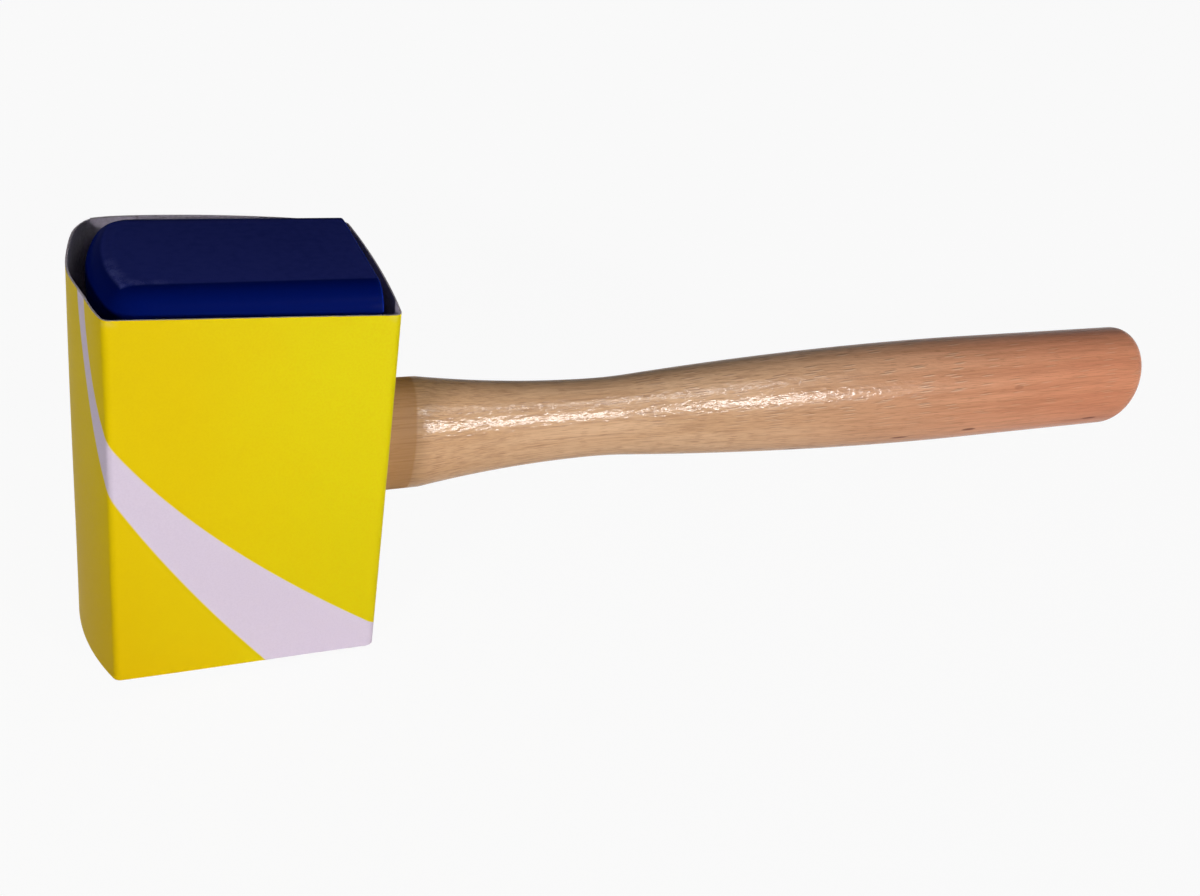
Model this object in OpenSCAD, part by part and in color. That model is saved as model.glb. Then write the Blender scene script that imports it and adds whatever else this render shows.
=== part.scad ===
// Soft-blow mallet with its head in a paperboard sleeve.
// Millimetres. The origin is the centre of the lower striking face, +Z runs up to the other striking face,
// +X runs along the handle to its butt, and -Y is the side of the sleeve's flat front panel.

/* [Head block] */
// Distance between the two striking faces
head_h = 101.6; // [90:0.1:130]
// Length along the handle, from the crown to the flat handle side
head_l = 61; // [54:0.1:80]
// Depth across the handle
head_d = 47.6; // [42:0.1:60]
// Radius of the rolled edge round each striking face
edge_r = 6.35; // [3:0.05:8]
// Radius of the crown's arc in plan
crown_r = 62; // [45:0.5:120]
// Radius of the two corners beside the crown in plan
corner_r = 9; // [8.5:0.1:14]

/* [Handle] */
// How far the handle's axis lies below the middle of the head
handle_drop = 2.3; // [0:0.1:6]
// Length of handle outside the head
handle_reach = 274.5; // [250:0.1:340]
// Height of the straight oval neck
neck_h = 31.4; // [27:0.1:36]
// Length of straight neck outside the head
neck_l = 17; // [10:0.1:40]
// Height of the waist, the thinnest section
waist_h = 23.6; // [18:0.1:26]
// Distance from the head to the waist
waist_at = 67; // [50:0.5:90]
// Radius of the hollow on the butt side of the waist
waist_r = 150; // [80:1:400]
// Height of the grip, the thickest section
grip_h = 35.1; // [30:0.1:42]
// Distance from the head to where the grip is full
grip_at = 201.5; // [150:0.5:240]
// Depth of the oval as a share of its height
oval_share = 0.76; // [0.6:0.01:1]
// Radius of the rounded rim at the butt
butt_rim_r = 8.5; // [5:0.1:13]
// Radius of the shallow dome that closes the butt
butt_dome_r = 27; // [22:0.5:60]

/* [Tenon] */
// Length of the tenon that is cast into the head
tenon_l = 45; // [30:0.5:48]
// Bevel round the tenon's end
tenon_bevel = 1.5; // [0.5:0.1:4]
// Diameter of the anchor dowel across the tenon
dowel_d = 9.5; // [6:0.1:12]
// Bevel round each end of the dowel
dowel_bevel = 0.8; // [0.2:0.1:2]
// Polymer left over each end of the dowel
dowel_cover = 5; // [2:0.1:7]
// Place of the dowel along the tenon, as a share of its length from the head's handle side
dowel_share = 0.58; // [0.35:0.01:0.7]
// Bond line between the wood and the polymer round it
bond_gap = 0.1; // [0.05:0.01:0.3]

/* [Sleeve] */
// Height of the sleeve
sleeve_h = 95.25; // [80:0.05:98]
// How far the sleeve's middle lies below the middle of the head
sleeve_drop = 1.3; // [0:0.1:1.6]
// Thickness of the paperboard
board_t = 0.6; // [0.3:0.05:1]
// Outer radius of the creases
crease_r = 2; // [1:0.1:4]
// Gap between the head and the flat front panel
front_gap = 2.7; // [0.5:0.1:4]
// Gap between the head and the back panel's creases
back_gap = 1.5; // [0.5:0.1:4]
// Gap between the head's handle side and the creases beside the handle
side_gap = 1.4; // [0.5:0.1:4]
// How far the crown panel's creases lie behind the top of the crown
crown_setback = 0.4; // [0:0.1:4]
// How far the crown panel bulges past its creases
crown_bulge = 4.5; // [3:0.1:8]
// How far the back panel bulges past its creases
back_bulge = 3.8; // [0.5:0.1:6]
// How far the panel on the handle side bulges past its creases
side_bulge = 1.2; // [0.5:0.1:4]
// Width of the glue flap inside the back panel
flap_w = 11; // [6:0.5:20]
// Gap between the slot and the neck that passes through it
slot_gap = 0.5; // [0.3:0.1:2]

/* [Hidden] */
// Overrun of every cut past the face that it opens
over = 1;
// Facets of a circle, sides of the handle's oval, and steps along each stretch of its outline
round_fn = 128;
handle_sides = 48;
taper_steps = 8;
hollow_steps = 4;
swell_steps = 12;
rim_steps = 7;
dome_steps = 4;

// Head: the crown's centre, and the corners' centres where the straight sides end
head_side = head_l / 2;
crown_x = crown_r - head_l / 2;
corner_y = head_d / 2 - corner_r;
corner_turn = asin(corner_y / (crown_r - corner_r));
corner_x = crown_x - (crown_r - corner_r) * cos(corner_turn);

// Handle: its height above the lower face, the depths of its oval, and the arcs of its outline
handle_z = head_h / 2 - handle_drop;
neck_d = neck_h * oval_share;
taper_drop = (neck_h - waist_h) / 2;
taper_r = (pow(waist_at - neck_l, 2) + pow(taper_drop, 2)) / (2 * taper_drop);
swell_rise = (grip_h - waist_h) / 2;
swell_span = grip_at - waist_at;
swell_r = (pow(swell_span, 2) + pow(swell_rise, 2)) / (2 * swell_rise) - waist_r;
turn_at = waist_at + swell_span * waist_r / (waist_r + swell_r);
rim_y = grip_h / 2 - butt_rim_r;
rim_turn = asin(rim_y / (butt_dome_r - butt_rim_r));
dome_at = handle_reach - butt_dome_r;
rim_at = dome_at + (butt_dome_r - butt_rim_r) * cos(rim_turn);

// Places from a to b in equal steps, without a itself
function steps(a, b, count) = [for (i = [1:count]) a + (b - a) * i / count];
// Half outline of the handle as [distance from the head, half height]: straight tenon and neck with a crisp
// end, then hollow taper to the waist, hollow behind it, swell to the full grip, rim and dome, all tangent
tenon_line = [
    [-tenon_l, neck_h / 2 - tenon_bevel],
    [tenon_bevel - tenon_l, neck_h / 2],
    [neck_l, neck_h / 2]
];
taper_line = [for (x = steps(neck_l, waist_at, taper_steps))
    [x, waist_h / 2 + taper_r - sqrt(pow(taper_r, 2) - pow(waist_at - x, 2))]];
hollow_line = [for (x = steps(waist_at, turn_at, hollow_steps))
    [x, waist_h / 2 + waist_r - sqrt(pow(waist_r, 2) - pow(x - waist_at, 2))]];
swell_line = [for (x = steps(turn_at, grip_at, swell_steps))
    [x, grip_h / 2 - swell_r + sqrt(pow(swell_r, 2) - pow(grip_at - x, 2))]];
rim_line = [for (turn = concat([0], steps(0, 90 - rim_turn, rim_steps)))
    [rim_at + butt_rim_r * sin(turn), rim_y + butt_rim_r * cos(turn)]];
dome_line = [for (turn = steps(rim_turn, 0, dome_steps))
    if (turn > 0) [dome_at + butt_dome_r * cos(turn), butt_dome_r * sin(turn)]];
handle_line = concat(tenon_line, taper_line, hollow_line, swell_line, rim_line, dome_line);
// Points round the handle's oval at one station of that outline
function oval_ring(station) = [for (i = [0:handle_sides - 1]) [
    head_side + station[0],
    station[1] * oval_share * cos(360 * i / handle_sides),
    handle_z + station[1] * sin(360 * i / handle_sides)
]];

// Dowel: its length and its place along the handle
dowel_l = head_d - 2 * dowel_cover;
dowel_x = head_side - tenon_l * dowel_share;

// Sleeve: its lower edge, the centres of its four creases from the front of the crown round, and the slot
sleeve_z = (head_h - sleeve_h) / 2 - sleeve_drop;
fold_r = crease_r - board_t;
crown_fold_x = fold_r + crown_setback - head_l / 2;
side_fold_x = head_side + side_gap - fold_r;
front_fold_y = fold_r - head_d / 2 - front_gap;
back_fold_y = head_d / 2 + back_gap - fold_r;
folds = [
    [crown_fold_x, front_fold_y],
    [side_fold_x, front_fold_y],
    [side_fold_x, back_fold_y],
    [crown_fold_x, back_fold_y]
];
slot_w = neck_d + 2 * slot_gap;
slot_top = handle_z + neck_h / 2 + slot_gap;
slot_depth = side_gap + side_bulge + board_t + over;

// Half section of the head through a striking edge, from its middle out to a radius or a half depth
module rolled_section(reach) {
    intersection() {
        square([reach, head_h]);
        union() {
            square([reach - edge_r, head_h]);
            translate([0, edge_r]) square([reach, head_h - 2 * edge_r]);
            for (level = [edge_r, head_h - edge_r])
                translate([reach - edge_r, level]) circle(edge_r, $fn = round_fn);
        }
    }
}

// The block in plan: straight sides, one crown arc and two corner arcs, all with the same rolled edge
module head_body() {
    translate([corner_x, 0, 0]) rotate([90, 0, 90]) linear_extrude(head_side - corner_x) {
        rolled_section(head_d / 2);
        mirror([1, 0]) rolled_section(head_d / 2);
    }
    translate([crown_x, 0, 0]) rotate(180 - corner_turn)
        rotate_extrude(angle = 2 * corner_turn, $fn = round_fn) difference() {
            rolled_section(crown_r);
            translate([0, -over]) square([crown_x - corner_x - corner_r, head_h + 2 * over]);
        }
    for (side = [0, 1]) mirror([0, side, 0]) translate([corner_x, corner_y, 0]) rotate(90)
        rotate_extrude(angle = 90 - corner_turn, $fn = round_fn) rolled_section(corner_r);
}

// An oval bar along the handle
module oval_bar(height, depth, length) {
    rotate([0, 90, 0]) linear_extrude(length) scale([height, depth]) circle(d = 1, $fn = round_fn);
}

// A round bar across the handle, centred on the dowel's axis
module cross_bar(diameter, length) {
    translate([dowel_x, 0, handle_z]) rotate([90, 0, 0])
        cylinder(d = diameter, h = length, center = true, $fn = round_fn);
}

// Cast block with the eye that the tenon and its dowel fill
module head_block() {
    color("midnightblue") difference() {
        head_body();
        translate([head_side - tenon_l - bond_gap, 0, handle_z])
            oval_bar(neck_h + 2 * bond_gap, neck_d + 2 * bond_gap, tenon_l + bond_gap + over);
        cross_bar(dowel_d + 2 * bond_gap, dowel_l + 2 * bond_gap);
    }
}

// Skin over a row of rings along the handle, flat at the first ring and drawn to a tip after the last
module skin(rings, tip) {
    sides = len(rings[0]);
    last = len(rings) - 1;
    function at(ring, side) = ring * sides + side % sides;
    polyhedron(
        points = concat([for (ring = rings) each ring], [tip]),
        faces = concat(
            [[for (side = [0:sides - 1]) at(0, side)]],
            [for (ring = [0:last - 1], side = [0:sides - 1])
                [at(ring + 1, side + 1), at(ring, side + 1), at(ring, side)]],
            [for (ring = [0:last - 1], side = [0:sides - 1])
                [at(ring + 1, side + 1), at(ring, side), at(ring + 1, side)]],
            [for (side = [0:sides - 1]) [at(last, side + 1), at(last, side), len(rings) * sides]]
        )
    );
}

// Oval wood from the tenon's bevelled end to the domed butt, with the dowel's hole through the tenon
module handle() {
    color("burlywood") difference() {
        skin([for (station = handle_line) oval_ring(station)], [head_side + handle_reach, 0, handle_z]);
        cross_bar(dowel_d + 2 * bond_gap, head_d);
    }
}

// Dowel across the tenon; its two ends stand in the polymer
module anchor_dowel() {
    color("peru") {
        cross_bar(dowel_d, dowel_l - 2 * dowel_bevel);
        for (side = [0, 1]) mirror([0, side, 0])
            translate([dowel_x, dowel_l / 2 - dowel_bevel, handle_z]) rotate([-90, 0, 0])
                cylinder(d1 = dowel_d, d2 = dowel_d - 2 * dowel_bevel, h = dowel_bevel, $fn = round_fn);
    }
}

// Area in plan of a bulged panel from fold a to fold b, out to a face inset from the board's outer face.
// Fold b lies one lap nearer to the bulge's centre, and the area can stop short of it.
module panel_area(a, b, bulge, inset, lap = 0, short = 0) {
    span = norm(b - a);
    along = (b - a) / span;
    out = [along[1], -along[0]];
    radius = (pow(span / 2, 2) + pow(bulge, 2)) / (2 * bulge);
    middle = (pow(span, 2) + 2 * radius * lap - pow(lap, 2)) / (2 * span);
    centre = a + middle * along - sqrt(pow(radius, 2) - pow(middle, 2)) * out;
    stop = b - short * along;
    from_a = (a - centre) / norm(a - centre);
    from_stop = (stop - centre) / norm(stop - centre);
    reach = 2 * (bulge + crease_r);
    intersection() {
        translate(centre) circle(radius + crease_r - inset, $fn = round_fn);
        polygon([
            a - crease_r * from_a,
            a + reach * from_a,
            stop + reach * from_stop,
            stop - crease_r * from_stop
        ]);
    }
}

// Area in plan inside a face of the board, all but the back panel: creases, front, crown and handle side
module folded_area(inset) {
    polygon(folds);
    for (fold = folds) translate(fold) circle(crease_r - inset, $fn = round_fn);
    translate([crown_fold_x, front_fold_y - crease_r + inset])
        square([side_fold_x - crown_fold_x, 2 * crease_r - inset]);
    panel_area(folds[1], folds[2], side_bulge, inset);
    panel_area(folds[3], folds[0], crown_bulge, inset);
}

// Area in plan of the back panel, which laps over the glue flap at the crown
module back_area(inset, short = 0) {
    panel_area(folds[2], folds[3], back_bulge, inset, lap = board_t, short = short);
}

// Folded blank: flat front, three bulged panels, creases, lapped glue seam and a slot that the neck fits
module sleeve() {
    color("gold") difference() {
        translate([0, 0, sleeve_z]) linear_extrude(sleeve_h) difference() {
            union() {
                folded_area(0);
                back_area(0);
            }
            folded_area(board_t);
            back_area(board_t, short = flap_w);
            back_area(2 * board_t);
        }
        translate([head_side, 0, slot_top - slot_w / 2]) rotate([0, 90, 0])
            cylinder(d = slot_w, h = slot_depth, $fn = round_fn);
        translate([head_side, -slot_w / 2, sleeve_z - over])
            cube([slot_depth, slot_w, slot_top - slot_w / 2 - sleeve_z + over]);
    }
}

head_block();
handle();
anchor_dowel();
sleeve();
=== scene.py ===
# %% [markdown]
# # A soft-head mallet in its paperboard sleeve
# The mallet has four pieces: a block of soft blue polymer, an oval beech handle, a dowel that keys the
# handle inside the block, and a folded sleeve of printed board. Their sizes and places come from a CAD
# model. This lesson makes finer meshes in the same places and gives them their finishes. Only the sleeve
# is set a little askew, as it sits on the real mallet.

# %% Load the CAD model
import math
from collections import namedtuple

import bmesh
import bpy
import numpy as np
from mathutils import Matrix, Vector


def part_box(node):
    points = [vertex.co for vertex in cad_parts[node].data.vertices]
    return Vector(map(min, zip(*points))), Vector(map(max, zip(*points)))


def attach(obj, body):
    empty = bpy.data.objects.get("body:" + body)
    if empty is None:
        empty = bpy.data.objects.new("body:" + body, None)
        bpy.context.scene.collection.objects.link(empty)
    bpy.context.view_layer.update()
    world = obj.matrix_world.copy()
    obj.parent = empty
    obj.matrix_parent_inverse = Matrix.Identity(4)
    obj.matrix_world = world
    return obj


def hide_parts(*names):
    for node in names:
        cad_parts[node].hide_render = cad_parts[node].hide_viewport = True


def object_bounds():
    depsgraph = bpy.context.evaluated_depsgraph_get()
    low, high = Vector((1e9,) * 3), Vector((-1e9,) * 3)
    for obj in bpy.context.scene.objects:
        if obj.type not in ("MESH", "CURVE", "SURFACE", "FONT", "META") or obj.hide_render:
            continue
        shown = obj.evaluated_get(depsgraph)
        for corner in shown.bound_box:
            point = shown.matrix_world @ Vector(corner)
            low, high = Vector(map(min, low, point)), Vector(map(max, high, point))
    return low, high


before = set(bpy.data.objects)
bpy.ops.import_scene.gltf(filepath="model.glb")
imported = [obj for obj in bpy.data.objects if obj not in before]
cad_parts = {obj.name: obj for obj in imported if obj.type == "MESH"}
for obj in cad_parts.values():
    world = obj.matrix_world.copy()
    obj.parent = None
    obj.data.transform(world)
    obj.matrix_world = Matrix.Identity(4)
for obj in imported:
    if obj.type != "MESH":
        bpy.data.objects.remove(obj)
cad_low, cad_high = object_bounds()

MM = 0.001
head_low, head_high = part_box("head_block")
handle_low, handle_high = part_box("handle")
sleeve_low, sleeve_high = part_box("sleeve")
print("CAD box in mm:", [round(v / MM, 1) for v in (*cad_low, *cad_high)])

# %% [markdown]
# ## Formulas made of nodes
# Materials and Geometry Nodes are both graphs of small nodes. Clicking them together is fine for ten nodes,
# but a formula such as an arc reads better as a formula. The first class lets a node's output stand in
# ordinary arithmetic: each sign adds one Math node behind the scenes. The second class adds the nodes.


# %% Let a node's output act as a number
class Num:
    """The output of a node, written in formulas like a number."""

    def __init__(self, kit, socket):
        self.kit = kit
        self.socket = socket

    def __add__(self, other):
        return self.kit.math("ADD", self, other)

    def __radd__(self, other):
        return self.kit.math("ADD", other, self)

    def __sub__(self, other):
        return self.kit.math("SUBTRACT", self, other)

    def __rsub__(self, other):
        return self.kit.math("SUBTRACT", other, self)

    def __mul__(self, other):
        return self.kit.math("MULTIPLY", self, other)

    def __rmul__(self, other):
        return self.kit.math("MULTIPLY", other, self)

    def __truediv__(self, other):
        return self.kit.math("DIVIDE", self, other)

    def __lt__(self, other):
        return self.kit.math("LESS_THAN", self, other)


print("Num takes part in + - * / and <")


# %% Add nodes to a tree
class Kit:
    """Adds nodes to one tree. Inputs are plain values, sockets or Nums."""

    def __init__(self, tree):
        self.tree = tree

    def feed(self, socket, value):
        if isinstance(value, Num):
            value = value.socket
        if isinstance(value, bpy.types.NodeSocket):
            self.tree.links.new(value, socket)
        else:
            socket.default_value = value

    def add(self, kind, inputs=None, **settings):
        node = self.tree.nodes.new(kind)
        for name, value in settings.items():
            setattr(node, name, value)
        for name, value in (inputs or {}).items():
            self.feed(node.inputs[name], value)
        return node

    def math(self, operation, *values):
        node = self.add("ShaderNodeMath", operation=operation)
        for socket, value in zip(node.inputs, values):
            self.feed(socket, value)
        return Num(self, node.outputs[0])

    def split(self, vector):
        node = self.add("ShaderNodeSeparateXYZ", {"Vector": vector})
        return [Num(self, socket) for socket in node.outputs]

    def join(self, x, y, z):
        return self.add("ShaderNodeCombineXYZ", {"X": x, "Y": y, "Z": z}).outputs[0]

    def ramp(self, value, low, high):
        """0 below low, 1 above high, and a smooth rise between them."""
        limits = {0: value, 1: low, 2: high}
        node = self.add("ShaderNodeMapRange", limits, interpolation_type="SMOOTHSTEP")
        return Num(self, node.outputs[0])

    def noise(self, vector, scale, detail=3.0):
        node = self.add("ShaderNodeTexNoise", {"Vector": vector, "Scale": scale, "Detail": detail})
        return Num(self, node.outputs[0])

    def mix(self, share, a, b):
        node = self.add("ShaderNodeMix", {0: share}, data_type="RGBA")
        self.feed(node.inputs[6], a)
        self.feed(node.inputs[7], b)
        return node.outputs[2]


print("Kit can:", [name for name in vars(Kit) if not name.startswith("_")])

# %% Write helpers for colours, finishes and objects
# Levels up to this lie on the straight foot of the sRGB curve
SRGB_TOE = 10


def srgb(red, green, blue):
    """A colour as a picture editor gives it, from 0 to 255, turned into linear light."""

    def linear(level):
        share = level / 255
        return ((share + 0.055) / 1.055) ** 2.4 if level > SRGB_TOE else share / 12.92

    return (linear(red), linear(green), linear(blue), 1.0)


def empty_material(name):
    material = bpy.data.materials.new(name)
    material.use_nodes = True
    material.node_tree.nodes.clear()
    return material, Kit(material.node_tree)


def new_finish(name):
    material, kit = empty_material(name)
    shader = kit.add("ShaderNodeBsdfPrincipled")
    kit.add("ShaderNodeOutputMaterial", {"Surface": shader.outputs[0]})
    return material, kit, shader


def object_place(kit):
    return kit.add("ShaderNodeTexCoord").outputs["Object"]


def raise_bumps(kit, shader, height, strength, depth):
    """Turns a height, from 0 to 1, into small bumps of that depth."""
    bump = kit.add("ShaderNodeBump", {"Height": height, "Strength": strength, "Distance": depth})
    kit.feed(shader.inputs["Normal"], bump.outputs[0])


def link_object(name, data):
    made = bpy.data.objects.new(name, data)
    bpy.context.scene.collection.objects.link(made)
    return made


print("Middle grey in linear light:", [round(v, 3) for v in srgb(128, 128, 128)])

# %% [markdown]
# ## The camera
# The camera stands where the reference view was taken from: close to the head, left of it, looking down and
# to the right, and rolled a little. Heading, look-down and roll are three turns one after another, which is
# easier to read than a matrix.

# %% Place the camera
VIEW_W = 1200
FOCAL_PX = 1194
SENSOR_W = 36
camera_place = Vector((-37.0, -262.9, 214.5)) * MM
camera_heading = math.radians(28.09)
camera_look_down = math.radians(30.67)
camera_roll = math.radians(9.83)
camera_data = bpy.data.cameras.new("camera")
camera_data.sensor_fit = "HORIZONTAL"
camera_data.sensor_width = SENSOR_W
camera_data.lens = FOCAL_PX / VIEW_W * SENSOR_W
camera_data.clip_start = 0.01
camera = link_object("camera", camera_data)
camera.location = camera_place
camera.rotation_euler = (
    Matrix.Rotation(-camera_heading, 3, "Z")
    @ Matrix.Rotation(math.pi / 2 - camera_look_down, 3, "X")
    @ Matrix.Rotation(camera_roll, 3, "Z")
).to_euler()
bpy.context.scene.camera = camera
bpy.context.scene.view_settings.view_transform = "Standard"
print("Lens", round(camera_data.lens, 2), "mm")

# %% [markdown]
# ## Floor and world
# The mallet stands on a white floor. A white floor only looks white if it gets a lot of light, and that
# light would bleach the object. So the floor and the world show the camera a plain white, while the lamps
# light the object at an ordinary level. A share of the floor's own shading stays, which keeps the shadow.
# Seen from below, the floor is clear.

# %% Mix the white floor
FLOOR_SHADE_SHARE = 0.06
FLOOR_GREY = (0.6, 0.6, 0.6, 1.0)
WHITE = (1.0, 1.0, 1.0, 1.0)


def seen_directly(kit):
    """1 for what the camera sees straight on, in a reflection or through glass."""
    path = kit.add("ShaderNodeLightPath")
    seen = kit.math("MAXIMUM", path.outputs["Is Camera Ray"], path.outputs["Is Glossy Ray"])
    return kit.math("MAXIMUM", seen, path.outputs["Is Transmission Ray"])


def floor_finish():
    material, kit = empty_material("white_floor")
    matte = kit.add("ShaderNodeBsdfDiffuse", {"Color": FLOOR_GREY}).outputs[0]
    glow = kit.add("ShaderNodeEmission", {"Color": WHITE, "Strength": 1.0}).outputs[0]
    share = seen_directly(kit) * (1 - FLOOR_SHADE_SHARE)
    top = kit.add("ShaderNodeMixShader", {0: share, 1: matte, 2: glow}).outputs[0]
    clear = kit.add("ShaderNodeBsdfTransparent").outputs[0]
    under = kit.add("ShaderNodeNewGeometry").outputs["Backfacing"]
    both = kit.add("ShaderNodeMixShader", {0: under, 1: top, 2: clear}).outputs[0]
    kit.add("ShaderNodeOutputMaterial", {"Surface": both})
    return material


white_floor = floor_finish()
print("Floor nodes:", len(white_floor.node_tree.nodes))

# %% Lay the floor and hang the world
FLOOR_HALF = 30.0
WORLD_GREY = (0.022, 0.022, 0.025, 1.0)
BACKDROP = (0.95, 0.95, 0.95, 1.0)
floor_corners = [
    (x * FLOOR_HALF, y * FLOOR_HALF, cad_low.z)
    for x, y in ((-1, -1), (1, -1), (1, 1), (-1, 1))
]
floor_mesh = bpy.data.meshes.new("floor")
floor_mesh.from_pydata(floor_corners, [], [(0, 1, 2, 3)])
floor_mesh.materials.append(white_floor)
floor = link_object("floor", floor_mesh)

world = bpy.data.worlds.new("studio")
world.use_nodes = True
world.node_tree.nodes.clear()
world_kit = Kit(world.node_tree)
soft = world_kit.add("ShaderNodeBackground", {"Color": WORLD_GREY, "Strength": 1.0}).outputs[0]
white = world_kit.add("ShaderNodeBackground", {"Color": BACKDROP, "Strength": 1.0}).outputs[0]
world_mix = {0: seen_directly(world_kit), 1: soft, 2: white}
shown = world_kit.add("ShaderNodeMixShader", world_mix).outputs[0]
world_kit.add("ShaderNodeOutputWorld", {"Surface": shown})
bpy.context.scene.world = world
print("Floor at", round(cad_low.z / MM, 2), "mm")

# %% [markdown]
# ## Lamps and cards
# The key lamp stands low in front and well to the right. It lights the front panel squarely and only
# grazes the striking face, which is why that face is so much darker. A small fill lamp at the front left
# lifts the crown panel and the inside of the back panel. A broad lamp behind lights the back, and it is set
# to draw no highlights. The streaks on the lacquer come from two cards that show only in reflections, much
# as a photographer holds up white cards.

# %% Hang the lamps
LAMP_AIM = Vector((0.1, 0.0, 0.05))


def hang_lamp(name, place, size, watts):
    data = bpy.data.lights.new(name, "AREA")
    data.shape = "RECTANGLE"
    data.size, data.size_y = size
    data.energy = watts
    lamp = link_object(name, data)
    lamp.location = place
    lamp.rotation_euler = (LAMP_AIM - Vector(place)).to_track_quat("-Z", "Y").to_euler()
    return lamp


hang_lamp("key_lamp", (1.7, -2.76, 0.56), (0.3, 0.3), 73.0)
hang_lamp("fill_lamp", (-0.874, -0.974, 0.47), (0.22, 0.22), 8.7)
back_lamp = hang_lamp("back_lamp", (0.0, 3.0, 0.47), (1.2, 0.8), 22.0)
back_lamp.visible_glossy = False
front_card = hang_lamp("front_card", (1.46, -2.83, 0.69), (0.6, 0.36), 400.0)
upper_card = hang_lamp("upper_card", (0.9, -1.72, 1.7), (0.9, 0.2), 170.0)
for card in (front_card, upper_card):
    card.visible_diffuse = False
print("Lamps:", [o.name for o in bpy.context.scene.objects if o.type == "LIGHT"])

# %% [markdown]
# ## Beech
# Beech is pale and even. Up close it has fine streaks along the handle, small dark pores, and many short
# dark flecks, the ends of the wood's rays. Beside each fleck runs a pale dash, a painted highlight. Streaks
# are noise stretched along the handle. Pores and flecks are the small middles of stretched Voronoi cells,
# laid round the handle like a label. A photo texture would need an image, and it would stretch at the butt;
# these layers follow the wood. The wood gets redder towards the butt, where a few dark marks run along its
# lower side. The lacquer starts a little way out of the head, so the first stretch is darker and dull. Its
# surface is not quite even, which breaks up the streak of light on it.

# %% Choose the wood's colours and sizes
HANDLE_Z = (handle_low.z + handle_high.z) / 2
HANDLE_SIDE_X = head_high.x
MEAN_RADIUS = (handle_high.z - handle_low.z) / 2 * 0.85
PALE_WOOD = srgb(218, 179, 143)
DEEP_WOOD = srgb(201, 160, 123)
PALE_BUTT = srgb(214, 144, 109)
DEEP_BUTT = srgb(198, 128, 96)
RAW_WOOD = srgb(172, 124, 76)
NECK_WOOD = srgb(200, 159, 121)
# The pale fleck colour is a painted highlight beside each dark fleck.
FLECK_HIGHLIGHT = srgb(226, 193, 162)
FLECK_BROWN = srgb(134, 92, 64)
MARK_BROWN = srgb(98, 52, 38)
LACQUER_X = 45.2 * MM
LACQUER_GLOSS = 0.025
LACQUER_RELIEF = 0.16 * MM
FLECK = {"length": 13.0 * MM, "row": 0.9 * MM, "kept": 0.42, "shift": 0.0}
PORE = {"length": 6.0 * MM, "row": 0.7 * MM, "kept": 0.3, "shift": 0.4}
FLECK_HIGHLIGHT_SHIFT = 0.3 * MM
FLECK_SLANT = 0.04
# Each mark: mm along the handle, degrees up from its front, half length and half width in mm, strength
dark_marks = [
    (165.0, -60.0, 3.8, 0.6, 0.75),
    (203.0, -45.0, 3.8, 0.6, 0.75),
    (230.0, -40.0, 3.2, 0.75, 0.75),
    (283.0, -42.0, 3.8, 0.6, 0.75),
    (244.0, 25.0, 2.2, 1.0, 0.25),
]
print("Handle axis", round(HANDLE_Z / MM, 2), "mm up, with", len(dark_marks), "dark marks")


# %% Lay patterns round the handle
def wrap_round_handle(kit, place):
    """Places on the handle as [along, round], both in metres, with the seam at the back."""
    x, y, z = kit.split(place)
    turn = kit.math("ARCTAN2", z - HANDLE_Z, 0 - y)
    return x, turn * MEAN_RADIUS


def grain(kit, place, along_scale, across_scale, detail):
    """Noise stretched along the handle: its scales are waves in a metre along and across the grain."""
    x, y, z = kit.split(place)
    return kit.noise(kit.join(x * along_scale, y * across_scale, z * across_scale), 1.0, detail)


def flecks(kit, along, around, length, row, kept, shift):
    """Short dashes, one in each kept cell: cells are as long as length and as wide as row."""
    spot = kit.join(along / length + shift, around / row, 0.0)
    cells = kit.add("ShaderNodeTexVoronoi", {"Vector": spot, "Scale": 1.0}, voronoi_dimensions="2D")
    chosen = kit.ramp(kit.split(cells.outputs["Color"])[0], 1 - kept, 1.05 - kept)
    return (1 - kit.ramp(cells.outputs["Distance"], 0.12, 0.25)) * chosen


def dark_mark(kit, along, around, place, degrees, half_length, half_width, strength):
    """One dark spot, at mm along the handle and degrees up from the front."""
    off_x = (along - place * MM) / (half_length * MM)
    off_y = (around - math.radians(degrees) * MEAN_RADIUS) / (half_width * MM)
    return (1 - kit.ramp(off_x * off_x + off_y * off_y, 0.2, 1.2)) * strength


print("Flecks are", round(FLECK["length"] / MM, 1), "by", round(FLECK["row"] / MM, 1), "mm apart")


# %% Mix the beech finish
def fleck_share(kit, along, around):
    """Flecks show on the upper side of the swell, and hardly anywhere else."""
    upper_side = kit.ramp(around, -9 * MM, 6 * MM)
    swell = kit.ramp(along, 80 * MM, 130 * MM) * (1 - kit.ramp(along, 200 * MM, 260 * MM) * 0.8)
    return 0.15 + upper_side * swell * 0.85


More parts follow.
